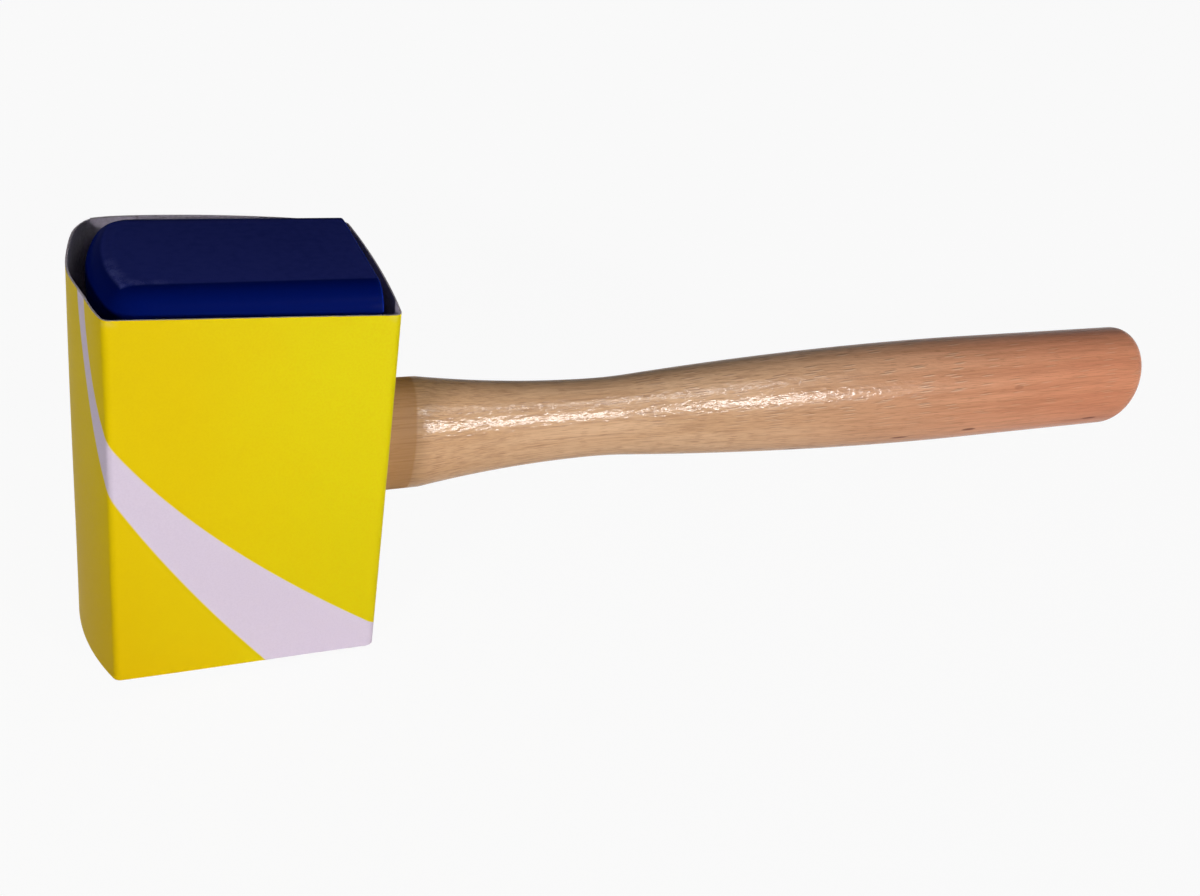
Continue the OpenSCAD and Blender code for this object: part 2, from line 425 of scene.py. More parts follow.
def beech_finish():
    material, kit, shader = new_finish("beech")
    place = object_place(kit)
    y, z = kit.split(place)[1:]
    along, around = wrap_round_handle(kit, place)
    to_butt = kit.ramp(along, 120 * MM, 290 * MM)
    growth = grain(kit, place, 9, 330, 4.0)
    lines = grain(kit, place, 45, 1700, 3.0)
    clouds = grain(kit, place, 20, 70, 2.0)
    fibres = grain(kit, place, 110, 4200, 2.0)
    specks = grain(kit, place, 420, 1000, 2.0)
    slant = around - along * FLECK_SLANT + (clouds - 0.5) * 1.5 * MM
    fleck_shown = fleck_share(kit, along, around)
    dashes = flecks(kit, along, slant, **FLECK) * fleck_shown
    # Painted highlight: a pale copy of each fleck, shifted a little round the handle.
    fleck_highlights = flecks(kit, along, slant + FLECK_HIGHLIGHT_SHIFT, **FLECK) * fleck_shown
    pores = flecks(kit, along, around, **PORE) * (1 - to_butt * 0.6)

    pale = kit.mix(to_butt, PALE_WOOD, PALE_BUTT)
    deep = kit.mix(to_butt, DEEP_WOOD, DEEP_BUTT)
    wood = kit.mix(kit.ramp(growth * 0.6 + clouds * 0.4, 0.34, 0.66), pale, deep)
    wood = kit.mix((1 - kit.ramp(along, 50 * MM, 110 * MM)) * 0.6, wood, NECK_WOOD)
    wood = kit.mix(kit.ramp(lines, 0.48, 0.72) * (0.36 - to_butt * 0.18), wood, FLECK_BROWN)
    wood = kit.mix(kit.ramp(fibres, 0.4, 0.75) * 0.3, wood, FLECK_BROWN)
    wood = kit.mix(pores * 0.4, wood, FLECK_BROWN)
    wood = kit.mix(fleck_highlights * 0.5, wood, FLECK_HIGHLIGHT)
    wood = kit.mix(dashes * 0.55, wood, FLECK_BROWN)
    for mark in dark_marks:
        wood = kit.mix(dark_mark(kit, along, around, *mark), wood, MARK_BROWN)

    dipped = along - y * 0.08 - (z - HANDLE_Z) * 0.03 + (clouds - 0.5) * 0.8 * MM
    lacquered = kit.ramp(dipped, LACQUER_X - 0.5 * MM, LACQUER_X + 0.4 * MM)
    wood = kit.mix((1 - lacquered) * 0.6, wood, RAW_WOOD)
    kit.feed(shader.inputs["Base Color"], wood)
    kit.feed(shader.inputs["Roughness"], 0.6 - lacquered * (0.42 - dashes * 0.3))
    shader.inputs["Specular IOR Level"].default_value = LACQUER_GLOSS
    relief = growth * 0.1 + specks * 0.9 - dashes * 0.05 - lines * 0.1
    raise_bumps(kit, shader, relief, 1.0, LACQUER_RELIEF)
    return material


beech = beech_finish()
print("Beech nodes:", len(beech.node_tree.nodes))

# %% [markdown]
# ## The handle
# The handle follows a rule: at each distance from the head it has one height, and it is always an oval of
# the same proportion. The height comes from arcs: a straight neck, a hollow taper to the waist, a hollow
# and a long swell up to the grip, then a rounded rim and a shallow dome. It could be lathed from a drawn
# profile, but a Geometry Nodes tree keeps every size as a named input. It bends a flat grid: one side of
# the grid runs along the handle, and the other goes round it.

# %% Name the handle's sizes
handle_sizes = {
    "Tenon length": 45.0 * MM,
    "Neck height": 31.4 * MM,
    "Neck length": 17.0 * MM,
    "Waist height": 23.6 * MM,
    "Waist distance": 67.0 * MM,
    "Hollow radius": 150.0 * MM,
    "Grip height": handle_high.z - handle_low.z,
    "Grip distance": 201.5 * MM,
    "Oval share": (handle_high.y - handle_low.y) / (handle_high.z - handle_low.z),
    "Reach": handle_high.x - HANDLE_SIDE_X,
    "Rim radius": 8.5 * MM,
    "Dome radius": 27.0 * MM,
    "Head side": HANDLE_SIDE_X,
    "Axis height": HANDLE_Z,
}
# Points along and round the handle, and the shares of its outline where neck, butt and rim begin or end
STATIONS = 200
SIDES = 112
NECK_SHARE = 0.2
BUTT_SHARE = 0.8
RIM_SHARE = 0.6
reach_mm = round(handle_sizes["Reach"] / MM, 1)
print("Handle reach", reach_mm, "mm, oval", round(handle_sizes["Oval share"], 3))


# %% Write the handle's outline as arcs
def square(value):
    return value * value


def pick(kit, test, yes, no):
    choice = {"Switch": test, "True": yes, "False": no}
    return Num(kit, kit.add("GeometryNodeSwitch", choice, input_type="FLOAT").outputs[0])


def body_height(kit, size, swell_r, on_body):
    """Half height of the handle between its neck and its rim."""
    neck, waist, grip = size["Neck height"] / 2, size["Waist height"] / 2, size["Grip height"] / 2
    neck_end, waist_at, grip_at = size["Neck length"], size["Waist distance"], size["Grip distance"]
    hollow_r = size["Hollow radius"]
    taper_r = (square(waist_at - neck_end) + square(neck - waist)) / ((neck - waist) * 2)
    turn_at = waist_at + (grip_at - waist_at) * hollow_r / (hollow_r + swell_r)

    def leg(radius, off):
        return kit.math("SQRT", square(radius) - square(off))

    taper = waist + taper_r - leg(taper_r, waist_at - on_body)
    hollow = waist + hollow_r - leg(hollow_r, on_body - waist_at)
    swell = grip - swell_r + leg(swell_r, grip_at - on_body)
    rising = pick(kit, on_body < turn_at, hollow, pick(kit, on_body < grip_at, swell, grip))
    return pick(kit, on_body < waist_at, taper, rising)


def handle_outline(kit, size, along):
    """Distance from the head and half height of the handle, for a share of the way along its outline."""
    neck, waist, grip = size["Neck height"] / 2, size["Waist height"] / 2, size["Grip height"] / 2
    neck_end, tenon = size["Neck length"], size["Tenon length"]
    swell_span = size["Grip distance"] - size["Waist distance"]
    swell_r = (square(swell_span) + square(grip - waist)) / ((grip - waist) * 2) - size["Hollow radius"]
    rim_r, dome_r = size["Rim radius"], size["Dome radius"]
    rim_y = grip - rim_r
    rim_turn = kit.math("ARCSINE", rim_y / (dome_r - rim_r))
    dome_at = size["Reach"] - dome_r
    rim_at = dome_at + (dome_r - rim_r) * kit.math("COSINE", rim_turn)

    on_neck = (neck_end + tenon) * along / NECK_SHARE - tenon
    on_body = neck_end + (rim_at - neck_end) * (along - NECK_SHARE) / (BUTT_SHARE - NECK_SHARE)
    body = body_height(kit, size, swell_r, on_body)

    on_butt = (along - BUTT_SHARE) / (1 - BUTT_SHARE)
    rim_angle = (math.pi / 2 - rim_turn) * on_butt / RIM_SHARE
    dome_angle = rim_turn * (1 - on_butt) / (1 - RIM_SHARE)
    rim_x = rim_at + rim_r * kit.math("SINE", rim_angle)
    rim_h = rim_y + rim_r * kit.math("COSINE", rim_angle)
    dome_x = dome_at + dome_r * kit.math("COSINE", dome_angle)
    dome_h = dome_r * kit.math("SINE", dome_angle)
    butt_x = pick(kit, on_butt < RIM_SHARE, rim_x, dome_x)
    butt_h = pick(kit, on_butt < RIM_SHARE, rim_h, dome_h)

    distance = pick(kit, along < NECK_SHARE, on_neck, pick(kit, along < BUTT_SHARE, on_body, butt_x))
    height = pick(kit, along < NECK_SHARE, neck, pick(kit, along < BUTT_SHARE, body, butt_h))
    end_cap = along < 0.5 / STATIONS
    return distance, pick(kit, end_cap, 0.0, height)


print("Outline: neck to", NECK_SHARE, "and butt from", BUTT_SHARE, "of the way")


# %% Bend a grid into the handle
def handle_tree():
    tree = bpy.data.node_groups.new("oval_handle", "GeometryNodeTree")
    for name in handle_sizes:
        tree.interface.new_socket(name, in_out="INPUT", socket_type="NodeSocketFloat")
    tree.interface.new_socket("Wood", in_out="INPUT", socket_type="NodeSocketMaterial")
    tree.interface.new_socket("Handle", in_out="OUTPUT", socket_type="NodeSocketGeometry")
    kit = Kit(tree)
    group = kit.add("NodeGroupInput")
    size = {name: Num(kit, group.outputs[name]) for name in handle_sizes}

    grid = kit.add("GeometryNodeMeshGrid", {"Vertices X": STATIONS + 1, "Vertices Y": SIDES + 1})
    grid_x, grid_y = kit.split(kit.add("GeometryNodeInputPosition").outputs[0])[:2]
    distance, height = handle_outline(kit, size, grid_x + 0.5)
    turn = (grid_y + 0.5) * (2 * math.pi)
    across = height * size["Oval share"] * kit.math("COSINE", turn)
    up = size["Axis height"] + height * kit.math("SINE", turn)
    place = kit.join(size["Head side"] + distance, across, up)
    bent = kit.add("GeometryNodeSetPosition", {"Geometry": grid.outputs["Mesh"], "Position": place})
    welded = kit.add("GeometryNodeMergeByDistance", {"Geometry": bent.outputs[0], "Distance": 0.01 * MM})
    smooth = kit.add("GeometryNodeSetShadeSmooth", {0: welded.outputs[0]})
    real = kit.add("GeometryNodeRealizeInstances", {0: smooth.outputs[0]})
    finish = {"Geometry": real.outputs[0], "Material": group.outputs["Wood"]}
    dressed = kit.add("GeometryNodeSetMaterial", finish)
    kit.add("NodeGroupOutput", {0: dressed.outputs[0]})
    return tree


oval_handle = handle_tree()
print("Handle tree has", len(oval_handle.nodes), "nodes")


# %% Make the handle
def mesh_of(made):
    """The object's final mesh, with its modifiers used up."""
    bpy.context.view_layer.update()
    evaluated = made.evaluated_get(bpy.context.evaluated_depsgraph_get())
    mesh = bpy.data.meshes.new_from_object(evaluated)
    made.modifiers.clear()
    made.data = mesh
    return mesh


def face_outwards(mesh):
    work = bmesh.new()
    work.from_mesh(mesh)
    bmesh.ops.recalc_face_normals(work, faces=work.faces)
    if work.calc_volume(signed=True) < 0:
        bmesh.ops.reverse_faces(work, faces=work.faces)
    volume = work.calc_volume() / MM**3 / 1000
    print(mesh.name, "holds", round(volume, 1), "cc in", len(work.faces), "faces")
    work.to_mesh(mesh)
    work.free()


handle = link_object("beech_handle", bpy.data.meshes.new("beech_handle"))
bend = handle.modifiers.new("oval_handle", "NODES")
bend.node_group = oval_handle
for socket in oval_handle.interface.items_tree:
    if socket.in_out == "INPUT":
        bend[socket.identifier] = handle_sizes.get(socket.name, beech)
mesh_of(handle).name = "beech_handle"
face_outwards(handle.data)
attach(handle, "mallet")
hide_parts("handle")

# %% [markdown]
# ## Polymer
# The head is cast from one soft blue polymer, but it has three looks. The rolled edges are smooth and deep
# blue. The striking faces are dusty and paler, with a chalky rub near one corner of the crown. A thin rim at
# the handle side has a painted highlight: it is coloured a brighter blue, as if it caught the light.
# Separate objects for these would leave seams, so one finish tells them apart by where a place lies on the
# block and by which way it faces.

# %% Mix the polymer finish
POLYMER_BLUE = srgb(2, 17, 86)
POLYMER_DUSTY = srgb(40, 49, 124)
POLYMER_CHALK = srgb(110, 118, 188)
# The rim colour is a painted highlight: a brighter blue for the edge that faces the light.
POLYMER_RIM_HIGHLIGHT = srgb(16, 38, 132)
ROLLED_GLOSS = 0.001
DUSTY_GLOSS = 0.0
POLYMER_RELIEF = 0.15 * MM
EDGE_R = 6.35 * MM
CROWN_R = 62.0 * MM
CORNER_R = 9.0 * MM
CROWN_DUST = 2.6 * MM
RUBBED_CORNER = Vector((-24.5, -13.5)) * MM
head_half_d = (head_high.y - head_low.y) / 2
crown_x = head_low.x + CROWN_R


def inset_from_sides(kit, x, y):
    """How far a place on a striking face lies inside the sides. Dust reaches further out at the crown."""
    off_x = x - crown_x
    from_crown = CROWN_R + CROWN_DUST - kit.math("SQRT", off_x * off_x + y * y)
    return kit.math("MINIMUM", from_crown, head_half_d - kit.math("ABSOLUTE", y))


def polymer_finish(name, gloss):
    material, kit, shader = new_finish(name)
    place = object_place(kit)
    x, y = kit.split(place)[:2]
    facing = kit.split(kit.add("ShaderNodeNewGeometry").outputs["Normal"])
    to_handle, level = facing[0], kit.math("ABSOLUTE", facing[2])
    clouds = kit.noise(place, 45.0, 4.0)
    mottle = kit.noise(place, 500.0, 3.0)
    pits = kit.noise(place, 1500.0, 2.0)
    grains = kit.noise(place, 3800.0, 2.0)

    inset = inset_from_sides(kit, x, y)
    flat = kit.ramp(inset, EDGE_R - 0.6 * MM, EDGE_R + 0.4 * MM) * kit.ramp(level, 0.7, 0.85)
    colour = kit.mix(flat * (0.55 + clouds * 0.35 + mottle * 0.5), POLYMER_BLUE, POLYMER_DUSTY)
    off_x, off_y = x - RUBBED_CORNER.x, y - RUBBED_CORNER.y
    off_corner = kit.math("SQRT", off_x * off_x + off_y * off_y)
    brow = flat * (1 - kit.ramp(inset, EDGE_R + 0.6 * MM, EDGE_R + 3.2 * MM))
    chalky = (1 - kit.ramp(off_corner, 2 * MM, 15 * MM)) * brow + flat * 0.05
    rubbed = chalky * kit.ramp(mottle * 0.5 + grains * 0.5, 0.38, 0.62)
    colour = kit.mix(rubbed * 0.3, colour, POLYMER_CHALK)
    # Painted highlight: the thin rim turned towards the handle side gets the brighter rim blue.
    rim = kit.ramp(to_handle, 0.2, 0.45) * (1 - kit.ramp(to_handle, 0.93, 0.99))
    colour = kit.mix(rim, colour, POLYMER_RIM_HIGHLIGHT)

    kit.feed(shader.inputs["Base Color"], colour)
    kit.feed(shader.inputs["Roughness"], 0.3 + flat * 0.4 + clouds * 0.1)
    shader.inputs["Specular IOR Level"].default_value = gloss
    relief = clouds * 0.3 + pits * 0.25 * (0.4 + flat) + grains * 0.1
    raise_bumps(kit, shader, relief, 0.35, POLYMER_RELIEF)
    return material


rolled_polymer = polymer_finish("rolled_polymer", ROLLED_GLOSS)
dusty_polymer = polymer_finish("dusty_polymer", DUSTY_GLOSS)
print("Polymer nodes:", len(rolled_polymer.node_tree.nodes))

# %% [markdown]
# ## The cast head
# The head is one casting with a big rolled edge round each striking face, a bowed crown, and a flat side
# where the handle comes out. A rounded box would have the same roll on all edges. Here one section, flat,
# roll, wall, roll, flat, is carried round the plan from the handle side over the crown and back, so the
# rolled edge runs out at the handle side as it does on the real block. A Bevel modifier then breaks that
# side's edge.

# %% Draw the head's plan and section
ROLL_STEPS = 10
WALL_STEPS = 10
SIDE_STEPS = 14
CORNER_STEPS = 14
CROWN_STEPS = 20
head_h = head_high.z - head_low.z
corner_y = head_half_d - CORNER_R
corner_turn = math.asin(corner_y / (CROWN_R - CORNER_R))
corner_x = crown_x - (CROWN_R - CORNER_R) * math.cos(corner_turn)


def plan_stations():
    """[centre x, centre y, radius, heading] from the handle side's front over the crown to its back."""
    front, crown, back = -math.pi / 2, -math.pi, -math.pi * 3 / 2
    from_side = np.linspace(head_high.x, corner_x, SIDE_STEPS, endpoint=False)
    to_crown = np.linspace(front, crown + corner_turn, CORNER_STEPS, endpoint=False)
    over_crown = np.linspace(crown + corner_turn, crown - corner_turn, CROWN_STEPS, endpoint=False)
    from_crown = np.linspace(crown - corner_turn, back, CORNER_STEPS, endpoint=False)
    to_side = np.linspace(corner_x, head_high.x, SIDE_STEPS)
    stations = [(x, -corner_y, CORNER_R, front) for x in from_side]
    stations += [(corner_x, -corner_y, CORNER_R, turn) for turn in to_crown]
    stations += [(crown_x, 0.0, CROWN_R, turn) for turn in over_crown]
    stations += [(corner_x, corner_y, CORNER_R, turn) for turn in from_crown]
    stations += [(x, corner_y, CORNER_R, back) for x in to_side]
    return stations


def rolled_section():
    """[inset, height] from the lower face out over the roll, up the wall and in over the upper roll."""
    turns = np.linspace(0, math.pi / 2, ROLL_STEPS + 1)
    lower = [(EDGE_R * (1 - math.sin(a)), EDGE_R * (1 - math.cos(a))) for a in turns]
    wall = [(0.0, h) for h in np.linspace(EDGE_R, head_h - EDGE_R, WALL_STEPS + 1)[1:-1]]
    upper = [(inset, head_h - height) for inset, height in reversed(lower)]
    return lower + wall + upper


print("Head corners turn through", round(90 - math.degrees(corner_turn), 1), "degrees")


# %% Carry the section round the plan
def cast_head():
    stations, section = plan_stations(), rolled_section()
    points = [
        (cx + (r - inset) * math.cos(turn), cy + (r - inset) * math.sin(turn), head_low.z + height)
        for cx, cy, r, turn in stations
        for inset, height in section
    ]
    across = len(section)
    last = (len(stations) - 1) * across
    faces = [
        (i * across + j, i * across + j + 1, (i + 1) * across + j + 1, (i + 1) * across + j)
        for i in range(len(stations) - 1)
        for j in range(across - 1)
    ]
    striking_from = len(faces)
    faces.append([i * across for i in range(len(stations))])
    faces.append([i * across + across - 1 for i in reversed(range(len(stations)))])
    faces.append([*range(across - 1, -1, -1), *range(last, last + across)])
    mesh = bpy.data.meshes.new("cast_head")
    mesh.from_pydata(points, [], faces)
    mesh.materials.append(rolled_polymer)
    mesh.materials.append(dusty_polymer)
    for striking_face in (striking_from, striking_from + 1):
        mesh.polygons[striking_face].material_index = 1
    return mesh


head = link_object("cast_head", cast_head())
face_outwards(head.data)

# %% Break the edge at the handle side
RIM_BEVEL = 0.6 * MM
RIM_STEPS = 3
HEAD_SHARP = math.radians(35)
rim_weight = head.data.attributes.new("bevel_weight_edge", "FLOAT", "EDGE")
for edge in head.data.edges:
    ends = [head.data.vertices[v].co.x for v in edge.vertices]
    on_side = all(abs(x - head_high.x) < 0.01 * MM for x in ends)
    rim_weight.data[edge.index].value = 1.0 if on_side else 0.0
bevel = head.modifiers.new("rim", "BEVEL")
bevel.limit_method = "WEIGHT"
bevel.width = RIM_BEVEL
bevel.segments = RIM_STEPS
mesh_of(head).name = "cast_head"
head.data.shade_smooth()
head.data.set_sharp_from_angle(angle=HEAD_SHARP)
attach(head, "mallet")
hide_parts("head_block")
print("Head has", len(head.data.polygons), "faces after the bevel")

# %% [markdown]
# ## The sleeve's board
# The sleeve is one blank of board with four creases, glued where the back panel laps over a flap. The
# front panel stays flat, and the other three bow outwards round the block. A box with thickness would lose
# all of that, so the blank is built as it is folded: a path of arcs and one straight stretch, followed
# from the flap round to the lap, with a grid of points over it. The distance along the path is the U of
# its UV map and the height is the V, so the print can be laid out flat, as a printer does.

# %% Lay out the blank
BOARD_T = 0.4 * MM
GLUE_T = 0.05 * MM
LAP = BOARD_T + GLUE_T
CREASE_R = 2.0 * MM
FRONT_GAP = 2.9 * MM
BACK_GAP = 1.5 * MM
SIDE_GAP = 1.4 * MM
CROWN_SETBACK = -0.3 * MM
CROWN_BULGE = 4.7 * MM
BACK_BULGE = 2.5 * MM
SIDE_BULGE = 1.1 * MM
FLAP_W = 11.0 * MM
SLOT_GAP = 0.5 * MM
fold_r = CREASE_R - BOARD_T
crown_fold_x = head_low.x + CROWN_SETBACK + fold_r
side_fold_x = head_high.x + SIDE_GAP - fold_r
front_fold_y = head_low.y - FRONT_GAP + fold_r
back_fold_y = head_high.y + BACK_GAP - fold_r
FOLDS = {
    "front_crown": Vector((crown_fold_x, front_fold_y)),
    "front_side": Vector((side_fold_x, front_fold_y)),
    "back_side": Vector((side_fold_x, back_fold_y)),
    "back_crown": Vector((crown_fold_x, back_fold_y)),
}
slot_half_w = handle_sizes["Neck height"] * handle_sizes["Oval share"] / 2 + SLOT_GAP
slot_spring_z = HANDLE_Z + handle_sizes["Neck height"] / 2 + SLOT_GAP - slot_half_w


def bulged_panel(start, end, bulge, lap=0.0):
    """Centre, radius and first and last heading of a panel's arc. The end fold lies one lap further in."""
    chord = end - start
    span = chord.length
    way = chord / span
    outward = Vector((way.y, -way.x))
    radius = ((span / 2) ** 2 + bulge**2) / (2 * bulge)
    middle = (span**2 + 2 * radius * lap - lap**2) / (2 * span)
    centre = start + middle * way - math.sqrt(radius**2 - middle**2) * outward
    first = math.atan2(*(start - centre).yx)
    last = first + (end - centre).angle_signed(start - centre)
    return centre, radius + CREASE_R, first, last


crown = bulged_panel(FOLDS["back_crown"], FOLDS["front_crown"], CROWN_BULGE)
side = bulged_panel(FOLDS["front_side"], FOLDS["back_side"], SIDE_BULGE)
back = bulged_panel(FOLDS["back_side"], FOLDS["back_crown"], BACK_BULGE, LAP)
for name, panel in (("crown", crown), ("side", side), ("back", back)):
    print("Headings of the", name, "panel:", [round(math.degrees(a), 1) for a in panel[2:]])

# %% Draw the stretches of the blank
FLAP_STEPS = 6
CREASE_STEPS = 8
PANEL_STEPS = 28
SIDE_EDGE_STEPS = 8
SLOT_STEPS = 20
FULL_TURN = 2 * math.pi
front_heading = -math.pi / 2
front_y = front_fold_y - CREASE_R
front_xs = np.linspace(crown_fold_x, side_fold_x, PANEL_STEPS + 1)


def arc(centre, radius, headings):
    """Points of an arc as [x, y, heading of the outward normal]."""
    return [(centre.x + radius * math.cos(a), centre.y + radius * math.sin(a), a) for a in headings]


def panel_arc(centre, radius, first, last):
    return arc(centre, radius, np.linspace(first, last, PANEL_STEPS + 1))


def crease(fold, first, last):
    turn = (last - first) % FULL_TURN
    return arc(FOLDS[fold], CREASE_R, np.linspace(first, first + turn, CREASE_STEPS + 1))


def flap_arc(centre, radius, last):
    """The glue flap lies one lap, a board and its glue, inside the back panel's end."""
    return arc(centre, radius - LAP, np.linspace(last - FLAP_W / radius, last, FLAP_STEPS + 1))


def side_arc(centre, radius, first, last):
    """The handle side's panel, with points close together towards the two edges of the slot."""
    swing = np.linspace(-math.pi / 2, math.pi / 2, SLOT_STEPS + 1)
    bow = [math.asin((slot_half_w * math.sin(a) - centre.y) / radius) for a in swing]
    before = np.linspace(first, bow[0], SIDE_EDGE_STEPS, endpoint=False)
    after = np.linspace(last, bow[-1], SIDE_EDGE_STEPS, endpoint=False)[::-1]
    return arc(centre, radius, [*before, *bow, *after])


stretches = [
    ("flap", flap_arc(back[0], back[1], back[3])),
    ("crease", crease("back_crown", back[3], crown[2])),
    ("crown", panel_arc(*crown)),
    ("crease", crease("front_crown", crown[3], front_heading)),
    ("front", [(x, front_y, front_heading) for x in front_xs]),
    ("crease", crease("front_side", front_heading, side[2])),
    ("side", side_arc(*side)),
    ("crease", crease("back_side", side[3], back[2])),
    ("back", panel_arc(*back)),
]
print("Points in each stretch:", [(name, len(points)) for name, points in stretches])

# %% Follow the blank round its folds
Column = namedtuple("Column", "x y heading stretch")
columns = []
for name, points in stretches:
    fresh = points[1:] if columns else points
    columns += [Column(*point, name) for point in fresh]
steps = [math.dist(a[:2], b[:2]) for a, b in zip(columns, columns[1:])]
lengths = np.concatenate([[0.0], np.cumsum(steps)])
front_start = [column.stretch for column in columns].index("front") - 1
lengths -= lengths[front_start]


def lengths_on(stretch):
    """Distances from the front panel's crown fold, along the blank, of a stretch's columns."""
    return [length for column, length in zip(columns, lengths) if column.stretch == stretch]


crease_lengths = lengths_on("crease")
crown_lengths = lengths_on("crown")
blank_length = lengths[-1] - lengths[0]
print("Blank is", round(blank_length / MM, 1), "mm long with", len(columns), "columns of points")

# %% [markdown]
# ## Print, grey back and cut edge
# Folding carton board has three looks: a varnished print outside, a grey fibrous back inside, and pale
# cut edges. The print here is a plain yellow with one pale stripe that starts upright near the crown
# panel's fold and swings across the front, growing wider as it goes. A curve could be drawn through
# points, but each of its two edges is a plain power curve with three values: its place at the foot, its
# place at the rim, and how hard it bends. Ink rubs off along the creases, so a crease attribute lets some
# white through. The yellow also carries painted shade: it is darker and more amber towards the crown panel
# and the foot, and paler towards the top.

# %% Mix the print
BLANK_UNIT = 0.1
STRIPE_SOFT = 0.25 * MM
PRINT_GLOSS = 0.03
PRINT_RELIEF = 0.05 * MM
# Amber and ochre serve as the painted shade of the yellow and lemon print.
PRINT_AMBER = srgb(214, 178, 2)
PRINT_YELLOW = srgb(221, 191, 2)
PRINT_LEMON = srgb(220, 204, 8)
PRINT_SHADED_OCHRE = srgb(214, 195, 6)
PRINT_STRIPE = srgb(211, 197, 214)
BOARD_WHITE = srgb(232, 227, 224)
BOARD_SHADE = srgb(190, 174, 194)
sleeve_h = sleeve_high.z - sleeve_low.z
upper_stripe_edge = {"at_foot": 72 * MM, "at_rim": -12 * MM, "bend": 1.75}
lower_stripe_edge = {"at_foot": 34 * MM, "at_rim": -16.5 * MM, "bend": 1.5}


def stripe_edge(kit, height, at_foot, at_rim, bend):
    """Distance of a stripe edge from the front fold, for a height from 0 at the foot to 1 at the rim."""
    return at_rim + kit.math("POWER", 1 - height, bend) * (at_foot - at_rim)


def print_finish():
    material, kit, shader = new_finish("printed_board")
    along, up = kit.split(kit.add("ShaderNodeUVMap", uv_map="blank").outputs[0])[:2]
    along, height = along * BLANK_UNIT, up * BLANK_UNIT / sleeve_h
    creased = Num(kit, kit.add("ShaderNodeAttribute", attribute_name="crease").outputs["Fac"])
    place = object_place(kit)
    fibres = kit.noise(place, 900.0, 3.0)
    mottle = kit.noise(place, 60.0, 3.0)
    scuffs = kit.noise(place, 420.0, 4.0)
    screen = kit.ramp(kit.noise(place, 2300.0, 2.0), 0.4, 0.65)

    below = stripe_edge(kit, height, **upper_stripe_edge) - along
    above = along - stripe_edge(kit, height, **lower_stripe_edge)
    stripe = kit.ramp(below, -STRIPE_SOFT, STRIPE_SOFT) * kit.ramp(above, -STRIPE_SOFT, STRIPE_SOFT)
    # Painted shade: the yellow turns amber towards the crown panel and the foot, and further along it is
    # ochre at the foot and paler lemon at the top.
    ink_and_painted_shade = kit.mix(kit.ramp(along / sleeve_h + height, -0.1, 0.7), PRINT_AMBER, PRINT_YELLOW)
    far_ink_and_painted_shade = kit.mix(kit.ramp(height, 0.1, 0.8), PRINT_SHADED_OCHRE, PRINT_LEMON)
    ink_and_painted_shade = kit.mix(kit.ramp(along + (mottle - 0.5) * 30 * MM, 0 * MM, 60 * MM), ink_and_painted_shade, far_ink_and_painted_shade)
    ink_and_painted_shade = kit.mix(screen * 0.2, ink_and_painted_shade, PRINT_AMBER)
    ink_and_painted_shade = kit.mix(stripe, ink_and_painted_shade, PRINT_STRIPE)
    ink_and_painted_shade = kit.mix(screen * stripe * 0.14, ink_and_painted_shade, BOARD_SHADE)
    rubbed = creased * kit.ramp(height, 0.975, 0.995) * kit.ramp(scuffs + mottle * 0.3, 0.6, 0.8)

    kit.feed(shader.inputs["Base Color"], kit.mix(rubbed * 0.05, ink_and_painted_shade, BOARD_WHITE))
    kit.feed(shader.inputs["Roughness"], 0.4 + fibres * 0.12 + rubbed * 0.3)
    shader.inputs["Specular IOR Level"].default_value = PRINT_GLOSS
    raise_bumps(kit, shader, fibres * 0.4 + mottle * 0.6, 0.3, PRINT_RELIEF)
    return material


printed_board = print_finish()
print("Print nodes:", len(printed_board.node_tree.nodes))

# %% Mix the bare board
BACK_PALE = srgb(214, 204, 220)
BACK_DARK = srgb(188, 176, 194)
EDGE_PALE = srgb(204, 193, 200)
EDGE_DARK = srgb(168, 156, 166)
BOARD_GLOSS = 0.2
BOARD_RELIEF = 0.06 * MM


def plain_board_finish(name, pale, dark, fibre_scale):
    """Bare board: short fibres in two greys."""
    material, kit, shader = new_finish(name)
    place = object_place(kit)
    fibres = kit.noise(place, fibre_scale, 4.0)
    mottle = kit.noise(place, 90.0, 3.0)
    paleness = kit.ramp(fibres * 0.6 + mottle * 0.4, 0.3, 0.7)
    kit.feed(shader.inputs["Base Color"], kit.mix(paleness, dark, pale))
    kit.feed(shader.inputs["Roughness"], 0.75 + fibres * 0.2)
    shader.inputs["Specular IOR Level"].default_value = BOARD_GLOSS
    raise_bumps(kit, shader, fibres, 0.4, BOARD_RELIEF)
    return material


board_finishes = [
    printed_board,
    plain_board_finish("board_back", BACK_PALE, BACK_DARK, 1300.0),
    plain_board_finish("board_edge", EDGE_PALE, EDGE_DARK, 2600.0),
]
print("Board finishes:", [finish.name for finish in board_finishes])

# %% [markdown]
# ## Fold the sleeve
# Every column of the blank gets a row of points from the lower edge to the upper one. Where the slot for
# the handle is, one row bends up into the slot's round top, and the squares under it are left out, so no
# cutting is needed. The same points set in by the board's thickness make the inside, and a narrow strip
# closes every open edge. A real sleeve is never quite true: its board waves a little, the corner by the
# glue seam is pressed round, the handle side flares at its foot to clear the block, and the whole sleeve
# sits askew with its back edge higher. Each of these is one small function that moves the points.

# %% Set out the rows
ROWS_BELOW = 24
ROWS_ABOVE = 20
ROWS = ROWS_BELOW + ROWS_ABOVE
SLOT_RAISE = 0.6 * MM


def in_slot(column):
    return column.stretch == "side" and abs(column.y) < slot_half_w + 0.001 * MM


